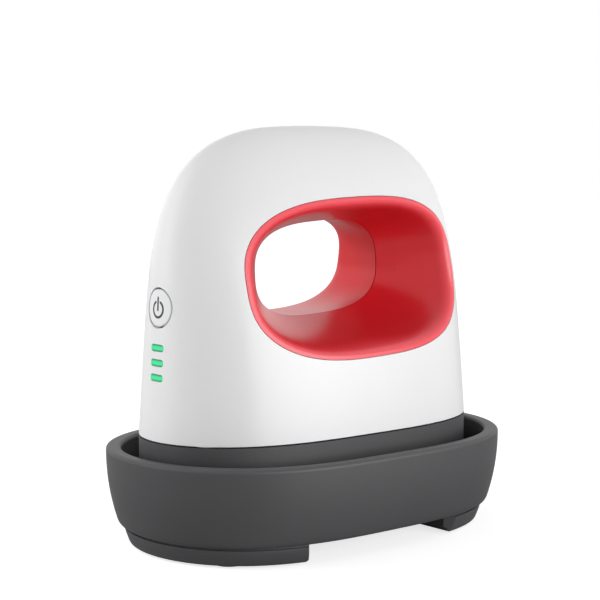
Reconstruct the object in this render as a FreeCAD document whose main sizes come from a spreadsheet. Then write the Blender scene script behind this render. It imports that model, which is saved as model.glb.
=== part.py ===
import FreeCAD, Part
import Sketcher
import math
import os
from FreeCAD import Placement, Rotation, Vector

# Mini handheld heat press with its stand, in millimetres.
# The frame: X runs along the press with the power button at -X, Y across it, Z up from the floor.
# The press body sits loose in the stand and lifts straight out of it.

doc = FreeCAD.newDocument("mini_heat_press")

# ---------------------------------------------------------------- driving dimensions

sizes = doc.addObject("Spreadsheet::Sheet", "sizes")
sizes.Label = "sizes"

dimensions = [
    ("standLength", 135.0, "stand over the rim, along X"),
    ("standWidth", 89.4, "stand over the rim, along Y"),
    ("rimHeight", 30.2, "floor to rim"),
    ("rimWall", 4.4, "wall thickness at the rim"),
    ("rimRound", 1.1, "rounding of both rim edges"),
    ("plinthHeight", 6.4, "floor to the underside of the tray"),
    ("plinthInset", 5.2, "plinth behind the rim outline"),
    ("plinthTaper", 1.4, "how much further in the plinth is at its foot"),
    ("plinthNeck", 0.8, "height and depth of the shadow groove under the tray"),
    ("plinthGap", 55.0, "clear width between the two plinths"),
    ("plinthGapX", -1.5, "middle of that gap, along X"),
    ("plinthCorner", 36.8, "half width of the plinths at the passage"),
    ("plinthChamfer", 1.8, "upright and lower corners of the plinths at the gap"),
    ("floorTop", 9.0, "top of the tray floor"),
    ("footRadius", 5.5, "rubber foot"),
    ("footThick", 1.4, "rubber foot, half of it in its recess"),
    ("footX", 46.0, "rubber feet off centre, along X"),
    ("footY", 19.0, "rubber feet off centre, along Y"),
    ("padLength", 14.0, "silicone rest, along X"),
    ("padWidth", 8.0, "silicone rest, along Y"),
    ("padSink", 1.0, "how deep a rest sits in the tray floor"),
    ("padX", 37.0, "rests off centre, along X"),
    ("padY", 15.0, "rests off centre, along Y"),
    ("soleHeight", 13.0, "floor to the hot sole when parked"),
    ("plateLength", 109.0, "heat plate, along X"),
    ("plateWidth", 56.0, "heat plate, along Y"),
    ("plateThick", 9.0, "heat plate"),
    ("plateRound", 1.6, "sole edge"),
    ("plateBossRadius", 4.0, "posts that carry the plate"),
    ("plateBossX", 30.0, "posts off centre, along X"),
    ("plateBossY", 7.0, "posts off centre, along Y"),
    ("tubeRadius", 3.3, "sheathed heating tube"),
    ("tubeRunY", 16.5, "straight runs off centre, and radius of the return bend"),
    ("tubeBendX", 28.0, "centre of the return bend, towards the button"),
    ("tubeEndX", 40.0, "upright ends of the tube"),
    ("shellLength", 118.34, "shell at its lower edge, along X"),
    ("shellWidth", 62.7, "shell at its lower edge, along Y"),
    ("shellPower", 3.1, "exponent of the plan outline along X, 2 along Y"),
    ("shellWall", 2.2, "moulded wall"),
    ("seamHeight", 34.7, "lower edge of the shell"),
    ("seamGap", 0.5, "shadow gap between shell and skirt"),
    ("pressHeight", 127.3, "floor to the top of the shell"),
    ("skirtBottom", 16.0, "lower edge of the skirt"),
    ("skirtWall", 2.5, "skirt wall"),
    ("skirtLip", 3.0, "locating lip inside the shell"),
    ("lipGap", 0.45, "between the lip and the shell's leaning wall"),
    ("deckBottom", 29.0, "deck inside the skirt"),
    ("deckThick", 2.5, "deck inside the skirt"),
    ("mouthX", 3.6, "centre of the grip opening, along X"),
    ("mouthZ", 81.55, "centre of the grip opening above the floor"),
    ("mouthHalfLength", 43.9, "grip opening at the faces"),
    ("mouthHalfHeight", 23.9, "grip opening at the faces"),
    ("mouthPower", 2.72, "exponent of the opening's outline"),
    ("mouthTilt", 1.8, "degrees, rear end up"),
    ("throatX", 3.8, "centre of the throat, along X"),
    ("throatZ", 82.95, "centre of the throat above the floor"),
    ("throatHalfLength", 25.0, "clear throat at the middle"),
    ("throatHalfHeight", 14.6, "clear throat at the middle"),
    ("throatPower", 2.8, "exponent of the throat's outline"),
    ("throatTilt", 3.1, "degrees, rear end up"),
    ("lipWidth", 3.4, "rounded lip round both mouths"),
    ("lipDrop", 2.4, "how far the near lip rolls in below the face"),
    ("dishDepth", 1.3, "shallow dish round the far end of the bore"),
    ("dishRim", 0.6, "outer edge of the dish, as a share of the way from the mouth to the throat"),
    ("dishFoot", 0.89, "inner edge of the dish, the same way"),
    ("boreLength", 0.85, "straight bore, as a share of the way from the middle to the far face"),
    ("linerWall", 1.9, "grip liner"),
    ("linerRim", 2.3, "depth of the liner's rim in the shell"),
    ("linerGap", 0.2, "shadow gap round the liner"),
    ("linerSeam", 0.24, "shadow gap between the liner's two halves"),
    ("buttonZ", 74.0, "power button above the floor"),
    ("buttonRadius", 5.5, "power button"),
    ("buttonGap", 0.55, "ring groove round the button"),
    ("buttonTravel", 0.6, "power button"),
    ("buttonEdge", 0.35, "rounding of the button's face"),
    ("buttonFlange", 1.3, "how far the flange stands out behind the shell"),
    ("flangeThick", 0.8, "flange, and stub behind it"),
    ("pressEase", 0.4, "left between button and switch at full travel"),
    ("switchDepth", 3.5, "tact switch"),
    ("plungerRadius", 1.7, "switch plunger"),
    ("plungerLength", 2.1, "switch plunger"),
    ("lampZ", 57.85, "middle lamp above the floor"),
    ("lampPitch", 4.4, "lamps"),
    ("lampWidth", 6.2, "lamp window"),
    ("lampHeight", 2.1, "lamp window"),
    ("guideX", 52.0, "strip of the light guide from the middle"),
    ("boardX", 47.6, "front face of the control board from the middle"),
    ("controlBoardLow", 45.0, "lower edge of the control board"),
    ("controlBoardHigh", 88.0, "upper edge of the control board"),
    ("controlBoardWidth", 15.0, "control board"),
    ("controlPostLow", 48.2, "lower screw of the control board"),
    ("controlPostHigh", 84.5, "upper screw of the control board"),
    ("controlPlugZ", 55.0, "plug of the lead on the control board"),
    ("boardThick", 1.6, "both circuit boards"),
    ("powerBoardZ", 41.0, "underside of the power board"),
    ("powerBoardLength", 74.0, "power board"),
    ("powerBoardWidth", 38.0, "power board"),
    ("boardPostX", 28.0, "power board posts off centre"),
    ("boardPostY", 15.5, "power board posts off centre"),
    ("relayLength", 19.0, "relay, along X"),
    ("relayWidth", 15.4, "relay, along Y"),
    ("relayHeight", 15.0, "relay"),
    ("filmLength", 18.0, "film capacitor, along X"),
    ("filmWidth", 8.0, "film capacitor, along Y"),
    ("filmHeight", 13.0, "film capacitor"),
    ("canRadius", 4.0, "smoothing capacitor"),
    ("canHeight", 12.0, "smoothing capacitor"),
    ("fuseRadius", 4.2, "round board fuse"),
    ("fuseHeight", 8.0, "round board fuse"),
    ("terminalX", 30.0, "terminal block from the middle"),
    ("terminalPitch", 5.0, "terminal block"),
    ("shellPostX", 49.5, "shell screw posts off centre"),
    ("shellPostY", 13.0, "shell screw posts off centre"),
    ("shellPostRadius", 3.6, "shell screw posts"),
    ("shellPostTop", 52.0, "top of the shell screw posts"),
    ("cordZ", 48.0, "mains inlet above the floor"),
    ("cordRadius", 3.2, "bore of the inlet bush"),
    ("glandNeck", 5.4, "inlet bush in the wall, radius"),
    ("glandBoss", 8.4, "flat boss round the inlet, radius"),
    ("glandSeat", 58.7, "outer face of the boss from the middle"),
    ("glandGrip", 4.2, "thickness of the boss"),
    ("saddleX", 46.0, "cord saddle and clamp, from the middle"),
    ("saddleLength", 7.0, "cord saddle and clamp, along X"),
    ("saddleWidth", 18.0, "cord saddle and clamp, along Y"),
    ("clampTop", 4.5, "top of the clamp above the cord's middle"),
    ("clampScrewY", 6.2, "clamp screws off centre"),
]

for row, (alias, value, note) in enumerate(dimensions, start=1):
    sizes.set(f"A{row}", alias)
    sizes.set(f"B{row}", str(value))
    sizes.set(f"C{row}", note)
    sizes.setAlias(f"B{row}", alias)
doc.recompute()


def size(alias):
    return float(sizes.get(alias))


# ---------------------------------------------------------------- helpers: surfaces

outlinePoints = 32


def outlineFactors(powerX, powerY):
    # points of |x|^powerX + |y|^powerY = 1 at even angles, each found by halving
    points = []
    for step in range(outlinePoints):
        angle = 2 * math.pi * step / outlinePoints
        across, along = abs(math.cos(angle)), abs(math.sin(angle))
        low, high = 0.5, 2.0
        for _ in range(40):
            reach = (low + high) / 2
            if (reach * across) ** powerX + (reach * along) ** powerY > 1:
                high = reach
            else:
                low = reach
        points.append(Vector(low * math.cos(angle), low * math.sin(angle), 0))
    return points


def splinePoles(points):
    # poles of the closed, even cubic spline that runs through the points
    poles = list(points)
    count = len(points)
    for _ in range(40):
        poles = [points[i] * 1.5 - (poles[i - 1] + poles[(i + 1) % count]) * 0.25 for i in range(count)]
    return poles


def closedCurve(poles):
    curve = Part.BSplineCurve()
    count = len(poles)
    curve.buildFromPolesMultsKnots(poles, [1] * (count + 1), list(range(count + 1)), True, 3)
    return curve


def tubeSurface(rows, mults, knots):
    # rows[i][j]: i runs round the closed outline, j from one end of the tube to the other
    surface = Part.BSplineSurface()
    count = len(rows)
    surface.buildFromPolesMultsKnots(
        rows, [1] * (count + 1), mults, list(range(count + 1)), knots, True, False, 3, 3
    )
    return surface.toShape()


def clampedKnots(count):
    spans = count - 3
    return [4] + [1] * (spans - 1) + [4], list(range(spans + 1))


def closeTube(side):
    # plane caps on the open ends of a tube, sewn into a solid
    faces = [side]
    for edge in side.Edges:
        if edge.isClosed() and not edge.Degenerated and edge.Length > 1:
            faces.append(Part.Face(Part.Wire([edge])))
    shell = Part.makeShell(faces)
    shell.sewShape()
    solid = Part.makeSolid(shell)
    if solid.Volume < 0:
        solid.reverse()
    return solid


def scaledSolid(outline, profile):
    # the plan outline, scaled along X and Y at each height of the profile: (half length, half width, z)
    mults, knots = clampedKnots(len(profile))
    rows = [[Vector(p.x * a, p.y * b, z) for a, b, z in profile] for p in outline]
    return closeTube(tubeSurface(rows, mults, knots))


def prism(poles, base, height):
    curve = closedCurve([Vector(p.x, p.y, base) for p in poles])
    return Part.Face(Part.Wire([curve.toShape()])).extrude(Vector(0, 0, height))


def outlinePrism(outline, halfLength, halfWidth, base, top):
    return prism([Vector(p.x * halfLength, p.y * halfWidth, 0) for p in outline], base, top - base)


def ringedPath(points, radius):
    # straight runs joined by tangent arcs of one radius
    edges = []
    start = points[0]
    for before, corner, after in zip(points, points[1:], points[2:]):
        toBefore = (before - corner).normalize()
        toAfter = (after - corner).normalize()
        half = toBefore.getAngle(toAfter) / 2
        reach = radius / math.tan(half)
        first = corner + toBefore * reach
        last = corner + toAfter * reach
        bisector = (toBefore + toAfter).normalize()
        middle = corner + bisector * (radius / math.sin(half) - radius)
        if start.distanceToPoint(first) > 0.01:
            edges.append(Part.LineSegment(start, first).toShape())
        edges.append(Part.Arc(first, middle, last).toShape())
        start = last
    edges.append(Part.LineSegment(start, points[-1]).toShape())
    return Part.Wire(edges)


def pipe(path, radius):
    start = path.Edges[0]
    direction = start.tangentAt(start.FirstParameter)
    circle = Part.Wire([Part.Circle(start.valueAt(start.FirstParameter), direction, radius).toShape()])
    return path.makePipeShell([circle], True, False)


# ---------------------------------------------------------------- helpers: document objects

def addFeature(name, shape, position=None):
    feature = doc.addObject("Part::Feature", name)
    feature.Label = name
    feature.Shape = shape
    feature.Placement = Placement(position or Vector(0, 0, 0), Rotation())
    return feature


def bind(target, path, expression):
    target.setExpression(path, str(expression))


def addBody(name, x="0", y="0", z="0"):
    body = doc.addObject("PartDesign::Body", name)
    body.Label = name
    for axis, expression in zip("xyz", (x, y, z)):
        bind(body, "Placement.Base." + axis, expression)
    return body


def addSketch(body, role):
    sketch = body.newObject("Sketcher::SketchObject", body.Name + "Sketch")
    plane = next(f for f in body.Origin.OriginFeatures if f.Role == role)
    sketch.AttachmentSupport = [(plane, "")]
    sketch.MapMode = "FlatFace"
    return sketch


def drawPolygon(sketch, points):
    # a closed polygon; every corner is tied to the origin by its two expressions, none below zero
    first = sketch.GeometryCount
    count = len(points)
    rough = [Vector(10 + 9 * math.cos(6.28 * i / count), 10 + 9 * math.sin(6.28 * i / count), 0)
             for i in range(count)]
    for i in range(count):
        sketch.addGeometry(Part.LineSegment(rough[i], rough[(i + 1) % count]), False)
    for i in range(count):
        sketch.addConstraint(Sketcher.Constraint("Coincident", first + i, 2, first + (i + 1) % count, 1))
    for i, pair in enumerate(points):
        for kind, axis, expression in (("DistanceX", -2, pair[0]), ("DistanceY", -1, pair[1])):
            if str(expression) == "0":
                sketch.addConstraint(Sketcher.Constraint("PointOnObject", first + i, 1, axis))
            else:
                index = sketch.addConstraint(Sketcher.Constraint(kind, -1, 1, first + i, 1, 10.0))
                bind(sketch, f"Constraints[{index}]", expression)


def drawCircle(sketch, x, y, radius):
    geometry = sketch.addGeometry(Part.Circle(Vector(5, 5, 0), Vector(0, 0, 1), 1), False)
    for kind, axis, expression in (("DistanceX", -2, x), ("DistanceY", -1, y)):
        if str(expression) == "0":
            sketch.addConstraint(Sketcher.Constraint("PointOnObject", geometry, 3, axis))
        else:
            index = sketch.addConstraint(Sketcher.Constraint(kind, -1, 1, geometry, 3, 10.0))
            bind(sketch, f"Constraints[{index}]", expression)
    index = sketch.addConstraint(Sketcher.Constraint("Radius", geometry, 1.0))
    bind(sketch, f"Constraints[{index}]", radius)


def addPad(body, sketch, length):
    pad = body.newObject("PartDesign::Pad", body.Name + "Pad")
    pad.Profile = sketch
    bind(pad, "Length", length)
    return pad


def addRevolution(body, sketch, axis="V_Axis"):
    turn = body.newObject("PartDesign::Revolution", body.Name + "Turn")
    turn.Profile = sketch
    turn.ReferenceAxis = (sketch, [axis])
    turn.Angle = 360
    return turn


def addFillet(body, feature, radius, wanted):
    doc.recompute()
    names = [f"Edge{i}" for i, edge in enumerate(feature.Shape.Edges, start=1) if wanted(edge)]
    finish = body.newObject("PartDesign::Fillet", body.Name + "Edges")
    finish.Base = (feature, names)
    bind(finish, "Radius", radius)
    return finish


def isUpright(edge):
    return edge.Curve.TypeId == "Part::GeomLine" and abs(edge.Curve.Direction.z) > 0.99


def turned(name, points, x="0", y="0", z="0"):
    # a body of revolution about its own upright axis; points are (radius, height) from its base
    body = addBody(name, x, y, z)
    sketch = addSketch(body, "XZ_Plane")
    drawPolygon(sketch, points)
    addRevolution(body, sketch)
    return body


def block(name, length, width, height, x, y, z, round_="0"):
    # a moulded block, centred on x and y, standing on z, with rounded upright edges
    body = addBody(name, f"{x} - ({length}) / 2", f"{y} - ({width}) / 2", z)
    sketch = addSketch(body, "XY_Plane")
    drawPolygon(sketch, [("0", "0"), (length, "0"), (length, width), ("0", width)])
    pad = addPad(body, sketch, height)
    if round_ != "0":
        addFillet(body, pad, round_, isUpright)
    return body


def cylinder(radius, height, position, direction=Vector(0, 0, 1)):
    return Part.makeCylinder(radius, height, position, direction)


def rodX(radius, fromX, toX, z, y=0):
    # a round bar along the press
    return cylinder(radius, toX - fromX, Vector(fromX, y, z), Vector(1, 0, 0))


def cuboid(length, width, height, centre):
    corner = centre - Vector(length / 2, width / 2, height / 2)
    return Part.makeBox(length, width, height, corner)


def fourWays(x, y):
    return [(sx * x, sy * y) for sx in (-1, 1) for sy in (-1, 1)]


def repeated(name, source, places):
    # one node that holds the same piece at several places, each a solid of its own
    doc.recompute()
    copies = [source.Shape.copy() for _ in places]
    for copy, place in zip(copies, places):
        copy.Placement = place.multiply(copy.Placement)
    return addFeature(name, Part.makeCompound(copies))


def upright(x, y, z):
    return Placement(Vector(x, y, z), Rotation())


# ---------------------------------------------------------------- the shared curves

planOutline = splinePoles(outlineFactors(size("shellPower"), 2.0))

shellHalfLength = size("shellLength") / 2
shellHalfWidth = size("shellWidth") / 2

# the shell's upright profile as fractions: half length, half width, height above the seam
domeProfile = [
    (1.0, 1.0, 0.0),
    (0.9755, 0.926, 0.312),
    (0.9679, 0.7777, 0.5498),
    (0.9184, 0.593, 0.7466),
    (0.7647, 0.3844, 0.9),
    (0.4999, 0.1783, 0.9852),
    (0.2596, 0.0571, 1.0),
    (0.0, 0.0, 1.0),
]


def domeRows(inset, base):
    # profile poles of the shell's surface, moved in by an inset and reaching down to a base height
    rise = size("pressHeight") - inset - size("seamHeight")
    rows = [((shellHalfLength - inset) * a, (shellHalfWidth - inset) * b, size("seamHeight") + rise * h)
            for a, b, h in domeProfile]
    return [(rows[0][0], rows[0][1], base)] + rows if base < size("seamHeight") else rows


def domeHalfWidth(x, z):
    # half width of the shell's outside at a point of its side view
    curve = Part.BSplineCurve()
    mults, knots = clampedKnots(len(domeProfile))
    curve.buildFromPolesMultsKnots([Vector(*row) for row in domeRows(0, size("seamHeight"))],
                                   mults, knots, False, 3)
    low, high = knots[0], knots[-1]
    for _ in range(30):
        middle = (low + high) / 2
        if curve.value(middle).z < z:
            low = middle
        else:
            high = middle
    at = curve.value(low)
    return at.y * math.sqrt(max(0.0, 1 - (abs(x) / at.x) ** size("shellPower")))


def sideOutline(centreX, centreZ, halfLength, halfHeight, power, tilt):
    # a tilted superellipse in the side view, as points (x, 0, z)
    turn = math.radians(tilt)
    points = []
    for p in outlineFactors(power, power):
        x, z = p.x * halfLength, p.y * halfHeight
        points.append(Vector(centreX + x * math.cos(turn) - z * math.sin(turn), 0,
                             centreZ + x * math.sin(turn) + z * math.cos(turn)))
    return points


def mouthOutline(grow):
    return sideOutline(size("mouthX"), size("mouthZ"), size("mouthHalfLength") + grow,
                       size("mouthHalfHeight") + grow, size("mouthPower"), size("mouthTilt"))


def throatOutline(grow):
    return sideOutline(size("throatX"), size("throatZ"), size("throatHalfLength") + grow,
                       size("throatHalfHeight") + grow, size("throatPower"), size("throatTilt"))


outside = 60.0       # well clear of the shell on both sides
lipFlat = 0.45       # share of the lip's width that lies in the face


def between(first, second, share):
    return [a + (b - a) * share for a, b in zip(first, second)]


def tunnelRings(grow, depth):
    # control rings of the finger tunnel, from the near face through the throat to the far face:
    # a rolled lip and a straight funnel on the near side, a bore, a shallow dish and a lip on the far one.
    # grow widens the throat, depth moves both mouths out of the shell's surface (or in, below zero)
    mouth, throat = mouthOutline(0), throatOutline(grow)

    def face(outline, drop):
        return [Vector(p.x, domeHalfWidth(p.x, p.z) + depth - drop, p.z) for p in outline]

    lip = face(mouthOutline(-lipFlat * size("lipWidth")), 0)
    lipFoot = face(mouthOutline(-size("lipWidth")), size("lipDrop"))
    bore = [Vector(p.x, p.y * size("boreLength"), p.z) for p in face(throat, 0)]
    dish = [face(between(mouth, throat, size(share)), size("dishDepth"))
            for share in ("dishFoot", "dishRim")]
    near = [face(mouth, 0), lip, lipFoot, between(lipFoot, throat, 0.5)]
    mirrored = [[Vector(p.x, -p.y, p.z) for p in ring] for ring in near]
    return [*mirrored, throat, bore, *dish, lip, face(mouth, 0)]


def gripTunnel(grow, depth):
    # the space of the finger tunnel as a solid that runs out past both faces; both halves meet in a crease
    rings = [splinePoles(ring) for ring in tunnelRings(grow, depth)]
    faces = [tubeSurface([list(row) for row in zip(*rings)], [4, 1, 3, 1, 1, 4], [0, 1, 2, 3, 4, 5])]
    for side, ring in ((-1, rings[0]), (1, rings[-1])):
        inner = closedCurve(ring).toShape()
        outer = closedCurve([Vector(p.x, side * outside, p.z) for p in ring]).toShape()
        faces.append(Part.makeRuledSurface(inner, outer))
        faces.append(Part.Face(Part.Wire([outer])))
    shell = Part.makeShell(faces)
    shell.sewShape()
    solid = Part.makeSolid(shell)
    if solid.Volume < 0:
        solid.reverse()
    return solid


shellOuter = scaledSolid(planOutline, domeRows(0, size("seamHeight")))
deckTop = size("deckBottom") + size("deckThick")
boardTop = size("powerBoardZ") + size("boardThick")
controlRear = -size("boardX") + size("boardThick")
controlPosts = (size("controlPostLow"), size("controlPostHigh"))


# ---------------------------------------------------------------- the stand

def standProfile(rows):
    # rows of (inset from the rim, height) as half length, half width and height
    return [(size("standLength") / 2 - d, size("standWidth") / 2 - d, z) for d, z in rows]


def makePlinths():
    # two end blocks under the tray, tapered, with a shadow groove above and a clear gap between them
    inset, taper, neck = size("plinthInset"), size("plinthTaper"), size("plinthNeck")
    base = size("footThick") / 2
    top = size("plinthHeight")
    rows = standProfile([(inset + taper + 0.9, base), (inset + taper, base),
                         (inset + taper * 0.8, base + 1.2), (inset, top - neck - 1), (inset, top - neck)])
    solid = scaledSolid(planOutline, rows)
    solid = solid.fuse(outlinePrism(planOutline, size("standLength") / 2 - inset - neck,
                                    size("standWidth") / 2 - inset - neck, top - neck - 1, top + 1))
    middle, half = size("plinthGapX"), size("plinthGap") / 2
    bend = size("plinthCorner") - size("plinthChamfer")
    far = half + outside - bend
    corners = [(half, -bend), (half, bend), (far, outside), (-far, outside),
               (-half, bend), (-half, -bend), (-far, -outside), (far, -outside)]
    points = [Vector(middle + x, y, 0) for x, y in corners]
    passage = Part.Face(Part.makePolygon(points + points[:1])).extrude(Vector(0, 0, 2 * top))
    solid = solid.cut(passage)
    bevel = size("plinthChamfer")
    for side in (-1, 1):
        end = middle + side * half
        wedge = [Vector(end, -outside, base + bevel), Vector(end, -outside, base - 1),
                 Vector(end + side * (bevel + 1), -outside, base - 1)]
        wedge = Part.Face(Part.makePolygon(wedge + wedge[:1]))
        solid = solid.cut(wedge.extrude(Vector(0, 2 * outside, 0)))
    return solid


def makeStandTray():
    rim, bottom, floor = size("rimHeight"), size("plinthHeight"), size("floorTop")
    wall = size("rimWall")
    outer = scaledSolid(planOutline, standProfile([(5.8, bottom), (3.7, bottom), (3.0, 8.0), (1.2, 15.0),
                                                   (0.2, 22.0), (0.0, 27.0), (0.0, rim)]))
    inner = scaledSolid(planOutline, standProfile([(wall + 6.5, floor), (wall + 3.5, floor),
                                                   (wall + 2.2, 10.6), (wall + 1.2, 17.0),
                                                   (wall + 0.3, 24.0), (wall, rim), (wall, rim + 2)]))
    tray = outer.cut(inner)
    rims = [e for e in tray.Edges if abs(e.BoundBox.ZMin - rim) < 0.01 and e.BoundBox.ZLength < 0.01]
    tray = tray.makeFillet(size("rimRound"), rims)
    tray = tray.fuse(makePlinths())
    for x, y in fourWays(size("padX"), size("padY")):
        seat = cuboid(size("padLength"), size("padWidth"), 2 * size("padSink"), Vector(x, y, floor))
        tray = tray.cut(seat)
    for x, y in fourWays(size("footX"), size("footY")):
        tray = tray.cut(cylinder(size("footRadius"), size("footThick"), Vector(x, y, 0)))
    return addFeature("stand_tray", tray.removeSplitter())


def makeRestPads():
    # silicone blocks that keep the hot sole off the tray
    height = size("soleHeight") - size("floorTop") + size("padSink")
    pad = block("restPadSource", "sizes.padLength", "sizes.padWidth", str(height), "0", "0", "0", "1.5")
    base = size("floorTop") - size("padSink")
    places = [upright(x, y, base) for x, y in fourWays(size("padX"), size("padY"))]
    return repeated("rest_pads", pad, places)


def makeFootPads():
    foot = turned("footPadSource", [("0", "0"), ("sizes.footRadius - 0.4", "0"), ("sizes.footRadius", "0.4"),
                                    ("sizes.footRadius", "sizes.footThick"), ("0", "sizes.footThick")])
    places = [upright(x, y, 0) for x, y in fourWays(size("footX"), size("footY"))]
    return repeated("foot_pads", foot, places)


# ---------------------------------------------------------------- the hot end

def tubePath():
    # the heating tube: up at the rear, two runs, a half-round return, and up again
    level = size("soleHeight") + size("plateThick") - 2.5
    bend = 7.0
    y, xBend, xEnd = size("tubeRunY"), -size("tubeBendX"), size("tubeEndX")
    top = size("deckBottom") + 1.0
    edges = []

    def rise(side):
        up = Part.LineSegment(Vector(xEnd, side * y, top), Vector(xEnd, side * y, level + bend))
        turn = Part.Arc(Vector(xEnd, side * y, level + bend),
                        Vector(xEnd - bend + bend * math.cos(math.pi / 4), side * y,
                               level + bend - bend * math.sin(math.pi / 4)),
                        Vector(xEnd - bend, side * y, level))
        run = Part.LineSegment(Vector(xEnd - bend, side * y, level), Vector(xBend, side * y, level))
        return [up.toShape(), turn.toShape(), run.toShape()]

    edges += rise(1)
    returnBend = Part.Arc(Vector(xBend, y, level), Vector(xBend - y, 0, level), Vector(xBend, -y, level))
    edges.append(returnBend.toShape())
    edges += [e for e in reversed(rise(-1))]
    return Part.Wire(Part.sortEdges(edges)[0])


def makeHeatPlate():
    sole, top = size("soleHeight"), size("soleHeight") + size("plateThick")
    plate = outlinePrism(planOutline, size("plateLength") / 2, size("plateWidth") / 2, sole, top)
    soleEdge = [e for e in plate.Edges if abs(e.BoundBox.ZMax - sole) < 0.01]
    plate = plate.makeFillet(size("plateRound"), soleEdge)
    for x, y in fourWays(size("plateBossX"), size("plateBossY")):
        boss = cylinder(size("plateBossRadius"), size("deckBottom") - top + 2, Vector(x, y, top - 2))
        plate = plate.fuse(boss)
    for x, y in fourWays(size("plateBossX"), size("plateBossY")):
        plate = plate.cut(cylinder(2.0, 6.0, Vector(x, y, size("deckBottom") - 5.5)))
    plate = plate.cut(pipe(tubePath(), size("tubeRadius")))
    return addFeature("heat_plate", plate.removeSplitter())


def makeHeatingElement():
    tube = pipe(tubePath(), size("tubeRadius"))
    for side in (-1, 1):
        end = Vector(size("tubeEndX"), side * size("tubeRunY"), size("deckBottom") + 1.0)
        tube = tube.fuse(cylinder(2.4, 1.8, end))
        tube = tube.fuse(cylinder(1.2, 6.0, end))
    return addFeature("heating_element", tube.removeSplitter())


padBottom = size("soleHeight") + size("plateThick") + 1.0
padTop = padBottom + 2.8
shieldSheet = 0.8


def insulationCutters(base, top, ease):
    # the holes that the pad and the shield share: posts, thermostat, fuse, sensor and tube ends
    tools = []
    for x, y in fourWays(size("plateBossX"), size("plateBossY")):
        tools.append(cylinder(size("plateBossRadius") + ease, top - base, Vector(x, y, base)))
    tools.append(cylinder(8.6, top - base, Vector(0, 0, base)))
    for x in (-15.5, 15.5):
        tools.append(cuboid(7.0, 20.0, top - base, Vector(x, 0, (base + top) / 2)))
    for side in (-1, 1):
        centre = Vector(size("tubeEndX") - 4.5, side * size("tubeRunY"), (base + top) / 2)
        tools.append(cuboid(18.0, 8.0, top - base, centre))
    return tools


def makeInsulationPad():
    pad = outlinePrism(planOutline, size("plateLength") / 2 - 2.0, size("plateWidth") / 2 - 2.0,
                       padBottom, padTop)
    return addFeature("insulation_pad", pad.cut(insulationCutters(padBottom - 1, padTop + 1, 0.4)))


def makeHeatShield():
    # an upturned sheet-metal pan over the insulation
    outer = outlinePrism(planOutline, size("plateLength") / 2 - 1.1, size("plateWidth") / 2 - 1.1,
                         padBottom, padTop + shieldSheet)
    inner = outlinePrism(planOutline, size("plateLength") / 2 - 1.9, size("plateWidth") / 2 - 1.9,
                         padBottom - 1, padTop)
    pan = outer.cut(inner)
    return addFeature("heat_shield", pan.cut(insulationCutters(padBottom - 2, padTop + 2, 0.4)))


def makeThermostat():
    # bimetal disc thermostat: metal cup on the plate, flange, moulded body, two tabs
    base = size("soleHeight") + size("plateThick")
    body = turned("thermostatTurned", [("0", "0"), ("7.6", "0"), ("7.6", "4.0"), ("8.3", "4.0"),
                                       ("8.3", "4.8"), ("7.9", "4.8"), ("7.9", "12.0"), ("0", "12.0")])
    doc.recompute()
    shape = body.Shape.copy()
    for x in (-3.5, 3.5):
        shape = shape.fuse(cuboid(0.8, 6.3, 5.0, Vector(x, 0, 14.0)))
    return addFeature("thermostat", shape, Vector(0, 0, base))


def axialPart(radius, length, x, leadTop):
    # a small cylinder that lies across the plate, with a lead bent up at each end
    level = size("soleHeight") + size("plateThick") + radius
    shape = cylinder(radius, length, Vector(x, -length / 2, level), Vector(0, 1, 0))
    for side in (-1, 1):
        bendY = side * (length / 2 + 2.4)
        path = ringedPath([Vector(x, side * (length / 2 - 0.5), level), Vector(x, bendY, level),
                           Vector(x, bendY, leadTop)], 1.2)
        shape = shape.fuse(pipe(path, 0.5))
    return shape


def makeThermalFuse():
    return addFeature("thermal_fuse", axialPart(2.0, 12.0, 15.5, deckTop + 2))


def makeTemperatureSensor():
    return addFeature("temperature_sensor", axialPart(1.8, 11.0, -15.5, deckTop + 2))


# ---------------------------------------------------------------- the skirt

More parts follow.
